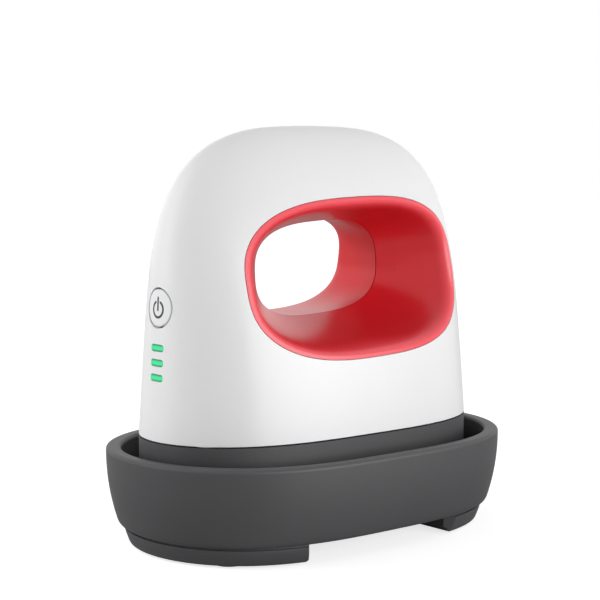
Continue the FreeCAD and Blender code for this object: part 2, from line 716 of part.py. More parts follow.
def makeBaseSkirt():
    # one moulding: wall, locating lip, deck with its openings, board posts and cord saddle
    bottom, shoulder = size("skirtBottom"), size("seamHeight") - size("seamGap")
    wall = size("skirtWall")
    lip = size("shellWall") + size("lipGap")
    outer = outlinePrism(planOutline, shellHalfLength, shellHalfWidth, bottom, shoulder)
    lower = [e for e in outer.Edges if abs(e.BoundBox.ZMax - bottom) < 0.01]
    outer = outer.makeFillet(0.8, lower)
    bore = outlinePrism(planOutline, shellHalfLength - wall, shellHalfWidth - wall,
                        bottom - 1, size("deckBottom"))
    upper = outlinePrism(planOutline, shellHalfLength - lip - 1.6, shellHalfWidth - lip - 1.6,
                         deckTop, size("seamHeight") + size("skirtLip") + 1)
    ledge = outlinePrism(planOutline, shellHalfLength - lip, shellHalfWidth - lip,
                         shoulder - 1, size("seamHeight") + size("skirtLip"))
    skirt = outer.fuse(ledge).cut(bore).cut(upper)
    for x, y in fourWays(size("boardPostX"), size("boardPostY")):
        skirt = skirt.fuse(cylinder(3.2, size("powerBoardZ") - deckTop + 1, Vector(x, y, deckTop - 1)))
    saddleTop = size("cordZ") - size("cordRadius")
    skirt = skirt.fuse(cuboid(size("saddleLength"), size("saddleWidth"), saddleTop - deckTop + 1,
                              Vector(size("saddleX"), 0, (saddleTop + deckTop - 1) / 2)))
    for x, y in fourWays(size("boardPostX"), size("boardPostY")):
        skirt = skirt.cut(cylinder(1.4, 6.5, Vector(x, y, size("powerBoardZ") - 6.5)))
    for x, y in fourWays(size("plateBossX"), size("plateBossY")):
        skirt = skirt.cut(cylinder(2.0, 10, Vector(x, y, size("deckBottom") - 1)))
    for x, y in fourWays(size("shellPostX"), size("shellPostY")):
        skirt = skirt.cut(cylinder(1.5, size("deckThick") + 1, Vector(x, y, size("deckBottom") - 0.5)))
        skirt = skirt.cut(cylinder(size("shellPostRadius") + 0.1, 12, Vector(x, y, deckTop)))
    for side in (-1, 1):
        tubeHole = Vector(size("tubeEndX"), side * size("tubeRunY"), size("deckBottom") - 3)
        skirt = skirt.cut(cylinder(4.4, 10, tubeHole))
        screwHole = Vector(size("saddleX"), side * size("clampScrewY"), saddleTop - 7.0)
        skirt = skirt.cut(cylinder(1.1, 8.0, screwHole))
    window = cuboid(40.0, 26.0, 10, Vector(0, 0, size("deckBottom")))
    skirt = skirt.cut(window.makeFillet(4.0, [e for e in window.Edges if isUpright(e)]))
    return addFeature("base_skirt", skirt.removeSplitter())


# ---------------------------------------------------------------- the shell and the grip

def makeUpperShell():
    # the freeform hood: open below, posts for the screws, flat boss for the inlet, and its openings
    wall, front = size("shellWall"), -shellHalfLength - 1
    shell = shellOuter.cut(scaledSolid(planOutline, domeRows(wall, size("seamHeight") - 2)))
    posts = []
    postHeight = size("shellPostTop") - deckTop
    for x, y in fourWays(size("shellPostX"), size("shellPostY")):
        posts.append(cylinder(size("shellPostRadius"), postHeight, Vector(x, y, deckTop)))
    for z in controlPosts:
        posts.append(rodX(2.4, front, -size("boardX"), z))
    column = scaledSolid(planOutline, domeRows(0.4, deckTop - 1))
    for post in posts:
        shell = shell.fuse(post.common(column))
    seat, cord = size("glandSeat"), size("cordZ")
    shell = shell.fuse(rodX(size("glandBoss"), seat - size("glandGrip"), seat, cord))
    shell = shell.cut(rodX(size("glandBoss"), seat, seat + 3.0, cord))
    shell = shell.cut(rodX(size("glandNeck"), seat - 6.0, seat + 2.0, cord))
    shell = shell.cut(prismY(mouthOutline(size("linerGap"))))
    for x, y in fourWays(size("shellPostX"), size("shellPostY")):
        shell = shell.cut(cylinder(1.5, 12.0, Vector(x, y, deckTop - 0.5)))
    for z in controlPosts:
        shell = shell.cut(rodX(1.0, -size("boardX") - 5.5, -size("boardX") + 0.5, z))
    shell = shell.cut(rodX(size("buttonRadius") + size("buttonGap"), front, front + 9.0, size("buttonZ")))
    for step in (-1, 0, 1):
        shell = shell.cut(lampBar(0.05, step, front, front + 7.0))
    return addFeature("upper_shell", shell.removeSplitter())


def prismY(points):
    # a straight bar across the press with a side-view outline
    curve = closedCurve([Vector(p.x, -outside, p.z) for p in splinePoles(points)])
    return Part.Face(Part.Wire([curve.toShape()])).extrude(Vector(0, 2 * outside, 0))


def lampBar(grow, step, fromX, toX):
    # one stadium-shaped lamp window along X
    half = size("lampHeight") / 2 + grow
    flat = size("lampWidth") / 2 - size("lampHeight") / 2
    z = size("lampZ") + step * size("lampPitch")
    bar = cuboid(toX - fromX, 2 * flat, 2 * half, Vector((fromX + toX) / 2, 0, z))
    for side in (-1, 1):
        bar = bar.fuse(rodX(half, fromX, toX, z, side * flat))
    return bar.removeSplitter()


mouthProud = 0.25    # the tunnel's edge stands this far out, and is trimmed flush with the shell


def makeGripLiners():
    # the finger tunnel, moulded as two halves that meet in the middle of the press
    sleeve = gripTunnel(size("linerWall"), -size("linerRim")).cut(gripTunnel(0, mouthProud))
    sleeve = sleeve.common(shellOuter)
    halves = []
    for name, side in (("grip_liner_near", -1), ("grip_liner_far", 1)):
        middle = Vector(0, side * (outside + size("linerSeam")) / 2, 0)
        keep = cuboid(4 * outside, outside, 4 * outside, middle)
        halves.append(addFeature(name, sleeve.common(keep)))
    return halves


# ---------------------------------------------------------------- button, lamps and boards

# places along X, from the switch on its board out to the button's face
switchFace = -size("boardX") - size("switchDepth")
stubBack = switchFace - size("buttonTravel") - size("pressEase")
flangeBack = stubBack - 0.6
flangeFront = flangeBack - size("flangeThick")


def makePowerButton():
    # a stepped cap: softly edged face in the shell, flange behind it, stub for the switch
    z = size("buttonZ")
    face = rodX(size("buttonRadius"), -shellHalfLength - 1, flangeFront + 0.5, z).common(shellOuter)
    rim = [e for e in face.Edges
           if e.BoundBox.XMax < flangeFront and e.BoundBox.YLength > size("buttonRadius")]
    face = face.makeFillet(size("buttonEdge"), rim)
    flange = rodX(size("buttonRadius") + size("buttonFlange"), flangeFront, flangeBack, z)
    stub = rodX(size("plungerRadius") + 0.7, stubBack - size("flangeThick"), stubBack, z)
    return addFeature("power_button", face.fuse(flange).fuse(stub).removeSplitter())


def makeSwitchPlunger():
    plunger = rodX(size("plungerRadius"), stubBack, stubBack + size("plungerLength"), size("buttonZ"))
    return addFeature("switch_plunger", plunger)


def makeTactSwitch():
    depth, z = size("switchDepth"), size("buttonZ")
    body = cuboid(depth, 6.0, 6.0, Vector(switchFace + depth / 2, 0, z))
    well = rodX(size("plungerRadius") + 0.25, switchFace, switchFace + size("plungerLength"), z)
    return addFeature("tact_switch", body.cut(well))


def makeLightGuide():
    # three clear bars joined by a strip behind the shell
    width, height = size("lampWidth") + 2.8, 2 * size("lampPitch") + 4.0
    guide = cuboid(1.2, width, height, Vector(-size("guideX"), 0, size("lampZ")))
    for step in (-1, 0, 1):
        guide = guide.fuse(lampBar(0, step, -shellHalfLength - 1, -size("guideX")))
    return addFeature("light_guide", guide.common(shellOuter).removeSplitter())


def makeStatusLeds():
    depth = 3.6
    places = [size("lampZ") + step * size("lampPitch") for step in (-1, 0, 1)]
    leds = [cuboid(depth, 4.6, 1.8, Vector(-size("boardX") - depth / 2, 0, z)) for z in places]
    return addFeature("status_leds", Part.makeCompound(leds))


def makeControlBoard():
    low, high = size("controlBoardLow"), size("controlBoardHigh")
    board = cuboid(size("boardThick"), size("controlBoardWidth"), high - low,
                   Vector((controlRear - size("boardX")) / 2, 0, (low + high) / 2))
    for z in controlPosts:
        board = board.cut(rodX(1.0, -size("boardX") - 1, controlRear + 1, z))
    return addFeature("control_board", board)


def screwProfile(shank, length, head, headHeight):
    # a pan-head screw, point down at zero, head on top
    return [("0", "0"), (shank, "0"), (shank, length), (head, length),
            (head, f"{length} + {headHeight} - 0.5"), (f"{head} - 0.5", f"{length} + {headHeight}"),
            ("0", f"{length} + {headHeight}")]


def makeScrews(name, shank, length, head, headHeight, places):
    screw = turned(name + "Source", screwProfile(shank, length, head, headHeight))
    return repeated(name, screw, places)


def pointing(direction, position):
    return Placement(position, Rotation(Vector(0, 0, 1), direction))


def makeFasteners():
    makeScrews("plate_screws", "2.0", "7.5", "3.6", "2.4",
               [upright(x, y, deckTop - 7.5) for x, y in fourWays(size("plateBossX"), size("plateBossY"))])
    makeScrews("shell_screws", "1.5", "12.0", "2.5", "2.0",
               [pointing(Vector(0, 0, -1), Vector(x, y, size("deckBottom") + 12.0))
                for x, y in fourWays(size("shellPostX"), size("shellPostY"))])
    makeScrews("power_board_screws", "1.4", "7.5", "2.7", "1.8",
               [upright(x, y, boardTop - 7.5) for x, y in fourWays(size("boardPostX"), size("boardPostY"))])
    makeScrews("control_board_screws", "1.0", "6.5", "2.1", "1.4",
               [pointing(Vector(1, 0, 0), Vector(controlRear - 6.5, 0, z)) for z in controlPosts])
    clampHead = size("cordZ") + size("clampTop")
    makeScrews("clamp_screws", "1.1", "10.0", "2.3", "1.6",
               [upright(size("saddleX"), side * size("clampScrewY"), clampHead - 10.0) for side in (-1, 1)])


def makePowerBoard():
    body = block("power_board", "sizes.powerBoardLength", "sizes.powerBoardWidth", "sizes.boardThick",
                 "0", "0", "sizes.powerBoardZ", "2.0")
    holes = addSketch(body, "XY_Plane")
    for signX in "-+":
        for signY in "-+":
            drawCircle(holes, f"sizes.powerBoardLength / 2 {signX} sizes.boardPostX",
                       f"sizes.powerBoardWidth / 2 {signY} sizes.boardPostY", "1.4")
    pocket = body.newObject("PartDesign::Pocket", "powerBoardHoles")
    pocket.Profile = holes
    pocket.Type = 1
    pocket.Reversed = True
    return body


onBoard = "sizes.powerBoardZ + sizes.boardThick"


def canProfile(radius, height):
    # a round can with a small step at its top edge
    return [("0", "0"), (radius, "0"), (radius, f"{height} - 0.4"),
            (f"{radius} - 0.4", height), ("0", height)]


def makeBoardParts():
    block("relay", "sizes.relayLength", "sizes.relayWidth", "sizes.relayHeight", "8", "0", onBoard, "0.6")
    block("film_capacitor", "sizes.filmLength", "sizes.filmWidth", "sizes.filmHeight",
          "-12", "9", onBoard, "0.8")
    turned("smoothing_capacitor", canProfile("sizes.canRadius", "sizes.canHeight"), "-10", "-8", onBoard)
    turned("board_fuse", canProfile("sizes.fuseRadius", "sizes.fuseHeight"), "-22", "-8", onBoard)


wireEntry = 4.4      # wires enter the terminals this far above the board


def makeTerminalBlock():
    # three screw terminals side by side, wires enter from the rear
    x = size("terminalX")
    shape = cuboid(9.0, 3 * size("terminalPitch"), 10.0, Vector(x, 0, boardTop + 5.0))
    for step in (-1, 0, 1):
        y = step * size("terminalPitch")
        shape = shape.cut(cylinder(1.7, 3.0, Vector(x, y, boardTop + 7.5)))
        shape = shape.cut(rodX(1.4, x + 1.6, x + 4.6, boardTop + wireEntry, y))
    return addFeature("terminal_block", shape)


def makeElementLeads():
    # insulated leads from the tube ends to the outer terminals
    level = boardTop + wireEntry
    leads = []
    for side in (-1, 1):
        x, y, entry = size("tubeEndX"), side * size("tubeRunY"), side * size("terminalPitch")
        path = ringedPath([Vector(x, y, size("deckBottom") + 7.0), Vector(x, y, level),
                           Vector(x, entry, level), Vector(size("terminalX") + 2.2, entry, level)], 3.5)
        leads.append(pipe(path, 1.3))
    return addFeature("element_leads", Part.makeCompound(leads))


def makeControlLead():
    # a jacketed lead with a plug at each end, from the control board to the power board
    plug, socketX = size("controlPlugZ"), -31.0
    path = ringedPath([Vector(controlRear + 3.0, 0, plug), Vector(socketX, 0, plug),
                       Vector(socketX, 0, boardTop + 4.0)], 4.0)
    lead = pipe(path, 1.4)
    lead = lead.fuse(cuboid(3.5, 8.0, 5.0, Vector(controlRear + 1.75, 0, plug)))
    lead = lead.fuse(cuboid(5.0, 8.0, 4.5, Vector(socketX, 0, boardTop + 2.25)))
    return addFeature("control_lead", lead.removeSplitter())


# ---------------------------------------------------------------- the mains inlet

def makeCableGland():
    # a rubber bush: collar inside, neck in the boss, collar outside, one bore through all
    inner, neck, outer = 1.8, size("glandGrip"), 1.6
    seat = inner + neck
    body = turned("cable_gland", [("sizes.cordRadius", "0"), ("6.6", "0"), ("6.6", inner),
                                  ("sizes.glandNeck", inner),
                                  ("sizes.glandNeck", seat), ("7.4", seat), ("7.4", seat + outer),
                                  ("5.4", seat + outer + 2.6), ("4.2", seat + outer + 2.6),
                                  ("sizes.cordRadius", seat + outer + 2.0)],
                  f"sizes.glandSeat - {seat}", "0", "sizes.cordZ")
    body.Placement.Rotation = Rotation(Vector(0, 0, 1), Vector(1, 0, 0))
    return body


def makeCordClamp():
    # a bar with a half-round groove, screwed down on the skirt's saddle
    z, x, length = size("cordZ"), size("saddleX"), size("saddleLength")
    low, high = z - 1.5, z + size("clampTop")
    bar = cuboid(length, size("saddleWidth"), high - low, Vector(x, 0, (low + high) / 2))
    bar = bar.cut(rodX(size("cordRadius"), x - length, x + length, z))
    bar = bar.cut(cuboid(2 * length, 2 * size("cordRadius"), 4.0, Vector(x, 0, z - 2.0)))
    for side in (-1, 1):
        bar = bar.cut(cylinder(1.1, 12.0, Vector(x, side * size("clampScrewY"), z - 4.0)))
    return addFeature("cord_clamp", bar.removeSplitter())


# ---------------------------------------------------------------- build and write

makeStandTray()
makeRestPads()
makeFootPads()
makeHeatPlate()
makeHeatingElement()
makeInsulationPad()
makeHeatShield()
makeThermostat()
makeThermalFuse()
makeTemperatureSensor()
makeBaseSkirt()
makeUpperShell()
makeGripLiners()
makePowerButton()
makeSwitchPlunger()
makeTactSwitch()
makeLightGuide()
makeStatusLeds()
makeControlBoard()
makePowerBoard()
makeBoardParts()
makeTerminalBlock()
makeElementLeads()
makeControlLead()
makeCableGland()
makeCordClamp()
makeFasteners()
doc.recompute()

nodes = [
    "stand_tray", "rest_pads", "foot_pads", "heat_plate", "heating_element", "insulation_pad", "heat_shield",
    "thermostat", "thermal_fuse", "temperature_sensor", "base_skirt", "upper_shell", "grip_liner_near",
    "grip_liner_far", "power_button", "switch_plunger", "tact_switch", "light_guide", "status_leds",
    "control_board", "power_board", "relay", "film_capacitor", "smoothing_capacitor", "board_fuse",
    "terminal_block", "element_leads", "control_lead", "cable_gland", "cord_clamp", "plate_screws",
    "shell_screws", "power_board_screws", "control_board_screws", "clamp_screws",
]

failed = [o.Label for o in doc.Objects if "Invalid" in o.State or "Error" in o.State]
if failed:
    raise RuntimeError("failed objects: " + ", ".join(failed))

shapes = {node: doc.getObjectsByLabel(node)[0].Shape for node in nodes}
bad = [node for node, shape in shapes.items() if shape.isNull() or not shape.isValid()]
if bad:
    raise RuntimeError("bad shapes: " + ", ".join(bad))

os.makedirs("parts", exist_ok=True)
for node, shape in shapes.items():
    shape.exportStep(f"parts/{node}.step")
    print(f"{node}: {len(shape.Solids)} solid(s), {shape.Volume:.0f} mm3")
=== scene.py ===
import bpy, bmesh, math
from mathutils import Matrix, Vector
from mathutils.bvhtree import BVHTree


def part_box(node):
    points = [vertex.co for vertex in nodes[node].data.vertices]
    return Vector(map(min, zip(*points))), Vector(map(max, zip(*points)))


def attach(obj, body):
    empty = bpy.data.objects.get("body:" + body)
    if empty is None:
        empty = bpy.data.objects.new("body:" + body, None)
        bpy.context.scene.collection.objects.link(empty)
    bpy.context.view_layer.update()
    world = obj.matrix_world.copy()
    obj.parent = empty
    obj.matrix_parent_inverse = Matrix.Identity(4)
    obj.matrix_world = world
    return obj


# Mini handheld heat press parked in its stand. Metres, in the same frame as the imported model:
# X along the press with the power button at -X, Y across it, Z up from the floor.

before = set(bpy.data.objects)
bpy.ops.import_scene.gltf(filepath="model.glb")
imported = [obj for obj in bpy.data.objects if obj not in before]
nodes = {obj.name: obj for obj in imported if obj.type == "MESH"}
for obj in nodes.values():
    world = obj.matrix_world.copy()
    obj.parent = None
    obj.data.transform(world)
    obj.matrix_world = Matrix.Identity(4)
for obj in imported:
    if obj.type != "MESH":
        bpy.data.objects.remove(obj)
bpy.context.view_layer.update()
scene = bpy.context.scene
mm = 0.001
cloudDetail = 3.0    # octaves in the slow drift of colour that most finishes have
print("frame loaded:", len(nodes), "nodes")


def linearColour(code):
    # sRGB hex to the linear values that shaders take
    channels = [int(code[i:i + 2], 16) / 255 for i in (1, 3, 5)]
    return (*[c / 12.92 if c <= 0.04045 else ((c + 0.055) / 1.055) ** 2.4 for c in channels], 1.0)


def addNode(tree, kind, settings=None, links=None):
    # one shader node; settings are its properties and plain socket values, links are sockets fed by outputs
    node = tree.nodes.new(kind)
    for key, value in (settings or {}).items():
        if isinstance(key, str) and hasattr(node, key) and key not in node.inputs:
            setattr(node, key, value)
        else:
            node.inputs[key].default_value = value
    for key, source in (links or {}).items():
        tree.links.new(source, node.inputs[key])
    return node


def newMaterial(name, **settings):
    # a principled material with plain values on its own sockets, and the position that patterns use
    material = bpy.data.materials.new(name)
    material.use_nodes = True
    tree = material.node_tree
    shader = tree.nodes["Principled BSDF"]
    for key, value in settings.items():
        shader.inputs[key.replace("_", " ")].default_value = value
    place = addNode(tree, "ShaderNodeTexCoord").outputs["Object"]
    return material, tree, shader, place


def varied(tree, shader, place, first, second, size, detail=cloudDetail):
    # slow drift between two close shades, blobs about size across
    cloud = addNode(tree, "ShaderNodeTexNoise", {"Scale": 1 / size, "Detail": detail}, {"Vector": place})
    mix = addNode(tree, "ShaderNodeMix",
                  {"data_type": "RGBA", 6: linearColour(first), 7: linearColour(second)},
                  {0: cloud.outputs["Fac"]})
    tree.links.new(mix.outputs[2], shader.inputs["Base Color"])
    return mix.outputs[2]


def grained(tree, shader, place, size, depth, roughness):
    # fine relief, grains about size across and depth high, with the roughness drifting over the grain
    grain = addNode(tree, "ShaderNodeTexNoise", {"Scale": 1 / size}, {"Vector": place})
    bump = addNode(tree, "ShaderNodeBump", {"Strength": 1.0, "Distance": depth},
                   {"Height": grain.outputs["Fac"]})
    tree.links.new(bump.outputs["Normal"], shader.inputs["Normal"])
    ramp = addNode(tree, "ShaderNodeMapRange", {"To Min": roughness[0], "To Max": roughness[1]},
                   {"Value": grain.outputs["Fac"]})
    tree.links.new(ramp.outputs["Result"], shader.inputs["Roughness"])


def dress(material, *pieces):
    # the pieces wear this material and no other
    for piece in pieces:
        slots = nodes[piece].data.materials
        slots.clear()
        slots.append(material)


def plainFinish(name, look, *pieces, detail=cloudDetail, **settings):
    # a finish that is the same all over: two close shades and one grain
    material, tree, shader, place = newMaterial(name, **settings)
    varied(tree, shader, place, look["light"], look["dark"], look["cloud"], detail)
    grained(tree, shader, place, look["grain"], look["grainDepth"], look["roughness"])
    dress(material, *pieces)
    return material


# camera: lengths in mm, angles in degrees, the focal length and the picture's width in pixels
view = {"azimuth": -39.859, "elevation": 5.592, "distance": 505.916, "targetX": -2.521, "targetZ": 72.742,
        "focal": 1604.72, "picture": 600, "sensor": 36.0, "nearClip": 20.0}

azimuth, elevation = math.radians(view["azimuth"]), math.radians(view["elevation"])
back = Vector((math.sin(azimuth) * math.cos(elevation), -math.cos(azimuth) * math.cos(elevation),
               math.sin(elevation)))
target = Vector((math.cos(azimuth) * view["targetX"], math.sin(azimuth) * view["targetX"],
                 view["targetZ"])) * mm
camera = bpy.data.objects.new("camera", bpy.data.cameras.new("camera"))
camera.location = target + back * view["distance"] * mm
camera.rotation_euler = back.to_track_quat("Z", "Y").to_euler()
camera.data.sensor_width = view["sensor"]
camera.data.lens = view["focal"] / view["picture"] * view["sensor"]
camera.data.clip_start = view["nearClip"] * mm
scene.collection.objects.link(camera)
scene.camera = camera
print("camera set")

# ABS, injection moulded, satin: near-white with a soft broad gleam and the faintest orange peel
shellWhite = {"light": "#F6F6F7", "dark": "#F2F2F3", "cloud": 40 * mm, "grain": 1.6 * mm,
              "grainDepth": 0.004 * mm, "roughness": (0.28, 0.34)}
plainFinish("satin_white_abs", shellWhite, "upper_shell", "power_button", IOR=1.53)

# ABS, moulded and soft-polished: deep red, with a painted highlight: a lighter, rosier red painted round
# the thin rolled lip, standing in for the light the lip catches
gripRed = {"light": "#D6222B", "dark": "#CE1D26", "cloud": 25 * mm, "grain": 1.2 * mm,
           "grainDepth": 0.004 * mm, "roughness": (0.26, 0.32), "lip": "#FD545F", "lipFull": 1.2 * mm,
           "lipEnd": 5.2 * mm, "mouth": (3.6 * mm, 0, 81.55 * mm), "mouthHalf": (43.9 * mm, 1, 23.9 * mm),
           "mouthPower": 2.72, "mouthTilt": 1.8}
polishedRedAbs, tree, shader, place = newMaterial("polished_red_abs", IOR=1.53)
deepRed = varied(tree, shader, place, gripRed["light"], gripRed["dark"], gripRed["cloud"])
# the mouth's outline is where the powers of the two shares add up to 1, so the sum's root tells how far
# out towards it a point lies, and its distance from the middle then gives how far in from the outline
inMouth = addNode(tree, "ShaderNodeMapping", {
    "vector_type": "TEXTURE", "Location": gripRed["mouth"], "Scale": gripRed["mouthHalf"],
    "Rotation": (0, -math.radians(gripRed["mouthTilt"]), 0)}, {"Vector": place})
shares = addNode(tree, "ShaderNodeSeparateXYZ", None, {0: inMouth.outputs["Vector"]})
powers = []
for axis in ("X", "Z"):
    plain = addNode(tree, "ShaderNodeMath", {"operation": "ABSOLUTE"}, {0: shares.outputs[axis]})
    powers.append(addNode(tree, "ShaderNodeMath", {"operation": "POWER", 1: gripRed["mouthPower"]},
                          {0: plain.outputs[0]}).outputs[0])
total = addNode(tree, "ShaderNodeMath", {"operation": "ADD"}, {0: powers[0], 1: powers[1]})
wayOut = addNode(tree, "ShaderNodeMath", {"operation": "POWER", 1: 1 / gripRed["mouthPower"]},
                 {0: total.outputs[0]})
flat = addNode(tree, "ShaderNodeVectorMath", {"operation": "MULTIPLY", 1: (1, 0, 1)}, {0: place})
radius = addNode(tree, "ShaderNodeVectorMath", {"operation": "DISTANCE", 1: gripRed["mouth"]},
                 {0: flat.outputs["Vector"]}).outputs["Value"]
outline = addNode(tree, "ShaderNodeMath", {"operation": "DIVIDE"}, {0: radius, 1: wayOut.outputs[0]})
inward = addNode(tree, "ShaderNodeMath", {"operation": "SUBTRACT"}, {0: outline.outputs[0], 1: radius})
# painted highlight: the lighter red is full near the mouth's outline and fades out further in
onLipHighlight = addNode(tree, "ShaderNodeMapRange", {
    "interpolation_type": "SMOOTHSTEP", "From Min": gripRed["lipFull"], "From Max": gripRed["lipEnd"],
    "To Min": 1.0, "To Max": 0.0}, {"Value": inward.outputs[0]})
mix = addNode(tree, "ShaderNodeMix", {"data_type": "RGBA", 7: linearColour(gripRed["lip"])},
              {0: onLipHighlight.outputs["Result"], 6: deepRed})
tree.links.new(mix.outputs[2], shader.inputs["Base Color"])
grained(tree, shader, place, gripRed["grain"], gripRed["grainDepth"], gripRed["roughness"])
dress(polishedRedAbs, "grip_liner_near", "grip_liner_far")

# glass-filled PBT, moulded in a spark-eroded mould: charcoal with a fine matt grain. Eroded grain is
# nearer 0.2 mm across; it is drawn coarser, so that it can show.
standGrey = {"light": "#464648", "dark": "#3F3F41", "cloud": 30 * mm, "grain": 0.55 * mm,
             "grainDepth": 0.018 * mm, "roughness": (0.46, 0.6)}
plainFinish("eroded_grey_pbt", standGrey, "stand_tray", "base_skirt", IOR=1.55)

# silicone rubber, compression moulded: near-black, dull, slightly dusty
rubber = {"light": "#2A2A2B", "dark": "#202021", "cloud": 6 * mm, "grain": 0.4 * mm,
          "grainDepth": 0.012 * mm, "roughness": (0.6, 0.75)}
plainFinish("moulded_silicone", rubber, "rest_pads", "foot_pads", "cable_gland", IOR=1.41)

# aluminium, die-cast, sole linished along its length: pale grey metal with long fine scratches. Real
# ones are nearer 0.1 mm wide; they are drawn coarser, so that they can show.
castPlate = {"light": "#C9CACC", "dark": "#B4B5B8", "scratch": (24 * mm, 0.35 * mm, 0.35 * mm),
             "scratchDepth": 0.006 * mm, "roughness": (0.28, 0.5)}
linishedAluminium, tree, shader, place = newMaterial("linished_aluminium", Metallic=1.0)
scratches = addNode(tree, "ShaderNodeMapping", {"Scale": tuple(1 / size for size in castPlate["scratch"])},
                    {"Vector": place}).outputs["Vector"]    # in it one scratch is 1 long, 1 wide and 1 high
varied(tree, shader, scratches, castPlate["light"], castPlate["dark"], 1.0)
grained(tree, shader, scratches, 1.0, castPlate["scratchDepth"], castPlate["roughness"])
dress(linishedAluminium, "heat_plate")

# stainless tube, drawn and annealed in the furnace: dulled steel with straw-brown clouds
heatTube = {"light": "#BDB7AE", "dark": "#8F8478", "cloud": 9 * mm, "cloudDetail": 5.0, "grain": 0.8 * mm,
            "grainDepth": 0.004 * mm, "roughness": (0.22, 0.36)}
plainFinish("annealed_stainless", heatTube, "heating_element", detail=heatTube["cloudDetail"], Metallic=1.0)

# mild steel, zinc plated and passivated: cool silver with a faint blue cast, slightly cloudy
platedScrew = {"light": "#C4C8CC", "dark": "#A3A9B0", "cloud": 1.5 * mm, "grain": 0.3 * mm,
               "grainDepth": 0.004 * mm, "roughness": (0.25, 0.42)}
plainFinish("zinc_plated_steel", platedScrew, "plate_screws", "shell_screws", "power_board_screws",
            "control_board_screws", "clamp_screws", Metallic=1.0)

# sheet steel, hot-dip galvanised: grey with angular spangle, each crystal a shade of its own
panSheet = {"light": "#BFC2C5", "dark": "#8E9296", "spangle": 5 * mm, "roughness": 0.42}
galvanisedSteel, tree, shader, place = newMaterial("galvanised_steel", Metallic=1.0,
                                                   Roughness=panSheet["roughness"])
crystal = addNode(tree, "ShaderNodeTexVoronoi", {"Scale": 1 / panSheet["spangle"]}, {"Vector": place})
mix = addNode(tree, "ShaderNodeMix", {"data_type": "RGBA", 6: linearColour(panSheet["dark"]),
                                      7: linearColour(panSheet["light"])}, {0: crystal.outputs["Color"]})
tree.links.new(mix.outputs[2], shader.inputs["Base Color"])
dress(galvanisedSteel, "heat_shield")

# ceramic fibre blanket, needled: off-white and matt, with tufts of fibre lying along the plate. One
# fibre is only micrometres thick, so the tufts are what is drawn.
fibrePad = {"light": "#E6E1D6", "dark": "#CFC8B8", "cloud": 3 * mm, "roughness": (0.85, 0.98),
            "tuft": (3 * mm, 0.3 * mm, 0.3 * mm), "tuftDepth": 0.12 * mm}
needledFibre, tree, shader, place = newMaterial("needled_ceramic_fibre", IOR=1.5)
varied(tree, shader, place, fibrePad["light"], fibrePad["dark"], fibrePad["cloud"])
tufts = addNode(tree, "ShaderNodeMapping", {"Scale": tuple(1 / size for size in fibrePad["tuft"])},
                {"Vector": place}).outputs["Vector"]    # in it one tuft is 1 long, 1 wide and 1 high
grained(tree, shader, tufts, 1.0, fibrePad["tuftDepth"], fibrePad["roughness"])
dress(needledFibre, "insulation_pad")

# thermostat: drawn aluminium cup below, brown-black phenolic body pressed above it, parted by height
thermostatLook = {"metal": "#B9BBBD", "body": "#2B2320", "bodyLight": "#352C27", "cloud": 2 * mm,
                  "edge": 4.8 * mm, "metalRoughness": 0.35, "bodyRoughness": 0.42}
cupAndPhenolic, tree, shader, place = newMaterial("aluminium_cup_phenolic_body", IOR=1.6)
height = addNode(tree, "ShaderNodeSeparateXYZ", None, {0: place}).outputs["Z"]
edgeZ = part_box("thermostat")[0][2] + thermostatLook["edge"]
above = addNode(tree, "ShaderNodeMath", {"operation": "GREATER_THAN", 1: edgeZ}, {0: height}).outputs[0]
phenolic = varied(tree, shader, place, thermostatLook["body"], thermostatLook["bodyLight"],
                  thermostatLook["cloud"])
mix = addNode(tree, "ShaderNodeMix", {"data_type": "RGBA", 6: linearColour(thermostatLook["metal"])},
              {0: above, 7: phenolic})
tree.links.new(mix.outputs[2], shader.inputs["Base Color"])
below = addNode(tree, "ShaderNodeMath", {"operation": "SUBTRACT", 0: 1.0}, {1: above})
tree.links.new(below.outputs[0], shader.inputs["Metallic"])
ramp = addNode(tree, "ShaderNodeMapRange", {"To Min": thermostatLook["metalRoughness"],
                                            "To Max": thermostatLook["bodyRoughness"]}, {"Value": above})
tree.links.new(ramp.outputs["Result"], shader.inputs["Roughness"])
dress(cupAndPhenolic, "thermostat")

# glass-epoxy board under green solder mask: deep glossy green, the woven glass just telling through.
# Real threads lie about 0.5 mm apart; here a thread and its gap take pi mm, so that they can show.
boards = {"light": "#1F6A41", "dark": "#185636", "threads": math.pi * mm, "weaveDepth": 0.006 * mm,
          "roughness": 0.3}
waveSpeed = 20    # a wave texture of scale 1 turns through this many radians in one unit
maskedGlassEpoxy, tree, shader, place = newMaterial("masked_glass_epoxy", IOR=1.55,
                                                    Roughness=boards["roughness"])
weave = [addNode(tree, "ShaderNodeTexWave",
                 {"bands_direction": axis, "Scale": 2 * math.pi / waveSpeed / boards["threads"]},
                 {"Vector": place}).outputs["Fac"] for axis in ("X", "Y", "Z")]
cross = addNode(tree, "ShaderNodeMath", {"operation": "ADD"}, {0: weave[0], 1: weave[1]})
cloth = addNode(tree, "ShaderNodeMath", {"operation": "ADD"}, {0: cross.outputs[0], 1: weave[2]})
mean = addNode(tree, "ShaderNodeMath", {"operation": "DIVIDE", 1: len(weave)}, {0: cloth.outputs[0]})
mix = addNode(tree, "ShaderNodeMix", {"data_type": "RGBA", 6: linearColour(boards["dark"]),
                                      7: linearColour(boards["light"])}, {0: mean.outputs[0]})
tree.links.new(mix.outputs[2], shader.inputs["Base Color"])
bump = addNode(tree, "ShaderNodeBump", {"Distance": boards["weaveDepth"]}, {"Height": mean.outputs[0]})
tree.links.new(bump.outputs["Normal"], shader.inputs["Normal"])
dress(maskedGlassEpoxy, "power_board", "control_board")

